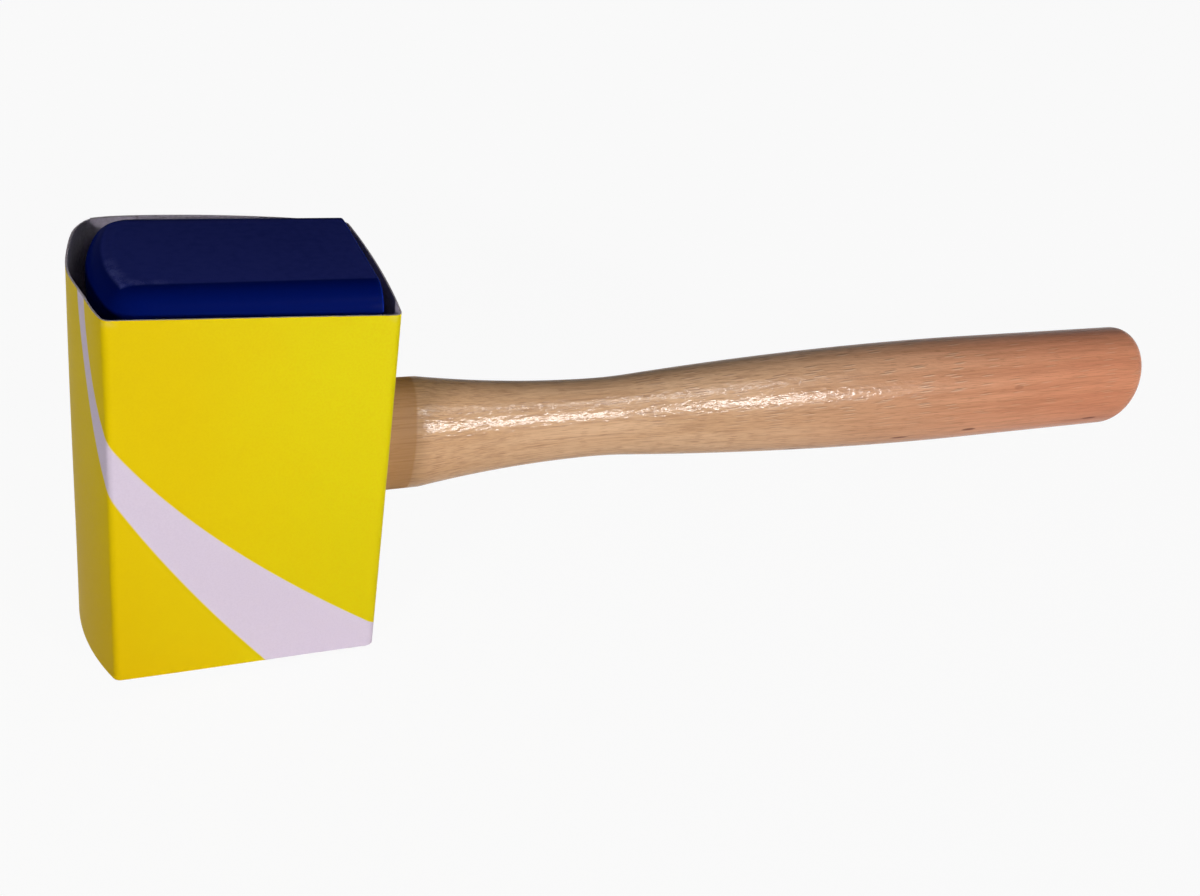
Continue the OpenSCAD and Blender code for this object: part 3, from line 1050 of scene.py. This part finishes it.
def row_heights(column):
    """Heights of a column's points: up to the slot's arch, or its springing line, and on to the top."""
    arch = slot_spring_z + SLOT_RAISE
    if in_slot(column):
        arch += math.sqrt(max(slot_half_w**2 - column.y**2, 0.0))
    lower = np.linspace(sleeve_low.z, arch, ROWS_BELOW, endpoint=False)
    return [*lower, *np.linspace(arch, sleeve_high.z, ROWS_ABOVE + 1)]


print("Columns over the slot:", sum(in_slot(column) for column in columns))

# %% Bow and press the board
WAVE = 0.12 * MM
WAVE_FADE = 8 * MM
CROWN_SPREAD = 1.0 * MM
CROWN_PINCH = 0.95 * MM
FOOT_FLARE = 0.5 * MM
SOFT_CORNER = 1.2 * MM
SOFT_REACH = 9.0 * MM
soft_corner = FOLDS["back_crown"] + CREASE_R * Vector((-1.0, 1.0)).normalized()


def share_up(z):
    return (z - sleeve_low.z) / sleeve_h


def board_wave(length, z):
    """How far the board stands out from its true fold: folded board is only even where it is glued."""
    to_lap = min(length - lengths[0], lengths[-1] - length) - FLAP_W
    free = min(1.0, max(0.0, to_lap / WAVE_FADE))
    slow = math.sin(length / (17 * MM) + 1.0) * math.cos(z / (21 * MM))
    quick = math.sin(length / (9 * MM) + z / (14 * MM))
    return WAVE * free * (0.7 * slow + 0.3 * quick)


def crown_bow(length, z):
    """The crown panel is flat beside its middle near the top, and stands out more towards the bottom."""
    share = (length - crown_lengths[0]) / (crown_lengths[-1] - crown_lengths[0])
    if not 0.0 < share < 1.0:
        return 0.0
    spread = CROWN_SPREAD * (1 - share_up(z)) * math.sin(math.pi * share)
    pinch = CROWN_PINCH * share_up(z) * share * math.sin(FULL_TURN * share) ** 2
    return spread - pinch


def foot_flare(heading, z):
    """The handle side stands further out at its foot, where it has to clear the block."""
    return FOOT_FLARE * (1 - share_up(z)) * max(0.0, math.cos(heading)) ** 2


def press_corner(x, y):
    """The corner by the glue seam is pressed round, so points near it move in."""
    near = max(0.0, 1.0 - math.dist((x, y), soft_corner) / SOFT_REACH) ** 2
    return x + SOFT_CORNER * near * math.sqrt(0.5), y - SOFT_CORNER * near * math.sqrt(0.5)


print("Soft corner at", [round(v / MM, 1) for v in soft_corner], "mm")

# %% Sit the sleeve askew
SLEEVE_DIP = math.radians(1.74)
SLEEVE_LEAN = math.radians(-1.0)
SLEEVE_TURN = math.radians(0.8)
BACK_LIFT = 2.1 * MM
set_middle = Vector((0.9, 0.0, 49.5)) * MM
set_shift = Vector((0.1, -0.34, -0.39)) * MM
tipped = Matrix.Rotation(SLEEVE_LEAN, 3, "X") @ Matrix.Rotation(SLEEVE_DIP, 3, "Y")
sleeve_set = Matrix.Rotation(SLEEVE_TURN, 3, "Z") @ tipped


def sit_askew(x, y, z):
    """The sleeve hangs on the neck by its slot, so it dips at the handle side and leans a little."""
    to_back = (y - front_y) / (back_fold_y + CREASE_R - front_y)
    lift = Vector((0.0, 0.0, BACK_LIFT * to_back))
    return set_middle + sleeve_set @ (Vector((x, y, z)) - set_middle) + set_shift + lift


def board_points(inset):
    points = []
    for column, length in zip(columns, lengths):
        along_x, along_y = math.cos(column.heading), math.sin(column.heading)
        for z in row_heights(column):
            out = board_wave(length, z) + crown_bow(length, z) + foot_flare(column.heading, z) - inset
            pressed = press_corner(column.x + out * along_x, column.y + out * along_y)
            points.append(sit_askew(*pressed, z))
    return points


outer_points = board_points(0.0)
inner_points = board_points(BOARD_T)
print("Lowest point of the sleeve", round(min(p.z for p in outer_points) / MM, 2), "mm")


# %% Join the points into board
def board_squares():
    """[column, row] of each square of board that is left when the slot is open."""
    squares = {(i, j) for i in range(len(columns) - 1) for j in range(ROWS)}
    for i in range(len(columns) - 1):
        if in_slot(columns[i]) and in_slot(columns[i + 1]):
            squares -= {(i, j) for j in range(ROWS_BELOW)}
    return squares


def board_faces(squares, inner_start):
    """Outer faces, inner faces and edge strips, each with the number of its finish."""
    faces = []
    for i, j in sorted(squares):
        ring = [(i, j), (i + 1, j), (i + 1, j + 1), (i, j + 1)]
        neighbours = [(i, j - 1), (i + 1, j), (i, j + 1), (i - 1, j)]
        outer = [a * (ROWS + 1) + b for a, b in ring]
        inner = [v + inner_start for v in outer]
        faces.append((outer, 0))
        faces.append((inner[::-1], 1))
        for k, neighbour in enumerate(neighbours):
            if neighbour not in squares:
                a, b = k, (k + 1) % 4
                faces.append(([outer[b], outer[a], inner[a], inner[b]], 2))
    return faces


def fold_sleeve():
    faces = board_faces(board_squares(), len(outer_points))
    mesh = bpy.data.meshes.new("folded_sleeve")
    mesh.from_pydata(outer_points + inner_points, [], [face for face, finish in faces])
    for polygon, (face, finish) in zip(mesh.polygons, faces):
        polygon.material_index = finish
    for finish in board_finishes:
        mesh.materials.append(finish)
    return mesh


sleeve = link_object("folded_sleeve", fold_sleeve())
print("Sleeve has", len(sleeve.data.polygons), "faces")

# %% Lay the blank out flat on its UV map
CREASE_REACH = 1.2 * MM
SLEEVE_SHARP = math.radians(40)


def lay_out_print(mesh):
    """Gives each point its place on the flat blank, and says how near it lies to a crease."""
    point_lengths = [length for length in lengths for row in range(ROWS + 1)] * 2
    point_heights = [z - sleeve_low.z for column in columns for z in row_heights(column)] * 2
    creased = mesh.attributes.new("crease", "FLOAT", "POINT")
    for v, length in enumerate(point_lengths):
        near = min(abs(length - s) for s in crease_lengths)
        creased.data[v].value = max(0.0, 1.0 - near / CREASE_REACH)
    blank = mesh.uv_layers.new(name="blank")
    for loop in mesh.loops:
        v = loop.vertex_index
        blank.data[loop.index].uv = (point_lengths[v] / BLANK_UNIT, point_heights[v] / BLANK_UNIT)


def drop_loose_points(mesh):
    work = bmesh.new()
    work.from_mesh(mesh)
    loose = [vertex for vertex in work.verts if not vertex.link_faces]
    bmesh.ops.delete(work, geom=loose, context="VERTS")
    print("Dropped", len(loose), "points under the slot's arch")
    work.to_mesh(mesh)
    work.free()


lay_out_print(sleeve.data)
drop_loose_points(sleeve.data)
sleeve.data.shade_smooth()
sleeve.data.set_sharp_from_angle(angle=SLEEVE_SHARP)
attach(sleeve, "sleeve")
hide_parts("sleeve")

# %% [markdown]
# ## The hidden dowel
# Soft polymer can't hold a smooth tenon by grip alone. How the real one is keyed can't be seen, so the
# hardwood dowel across the tenon is a guess. Its CAD solid is already the right shape, so it only gets a
# finish: straight brown grain along the dowel.

# %% Finish the dowel
DOWEL_PALE = srgb(196, 152, 104)
DOWEL_DARK = srgb(150, 104, 64)
DOWEL_RELIEF = 0.1 * MM


def dowel_finish():
    material, kit, shader = new_finish("dowel_hardwood")
    x, y, z = kit.split(object_place(kit))
    streaks = kit.noise(kit.join(x * 900, y * 30, z * 900), 1.0, 4.0)
    kit.feed(shader.inputs["Base Color"], kit.mix(kit.ramp(streaks, 0.3, 0.7), DOWEL_PALE, DOWEL_DARK))
    kit.feed(shader.inputs["Roughness"], 0.55 + streaks * 0.2)
    raise_bumps(kit, shader, streaks, 0.4, DOWEL_RELIEF)
    return material


dowel_wood = dowel_finish()
for material_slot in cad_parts["anchor_dowel"].material_slots:
    material_slot.material = dowel_wood
print("Dowel finish:", dowel_wood.name)

# %% [markdown]
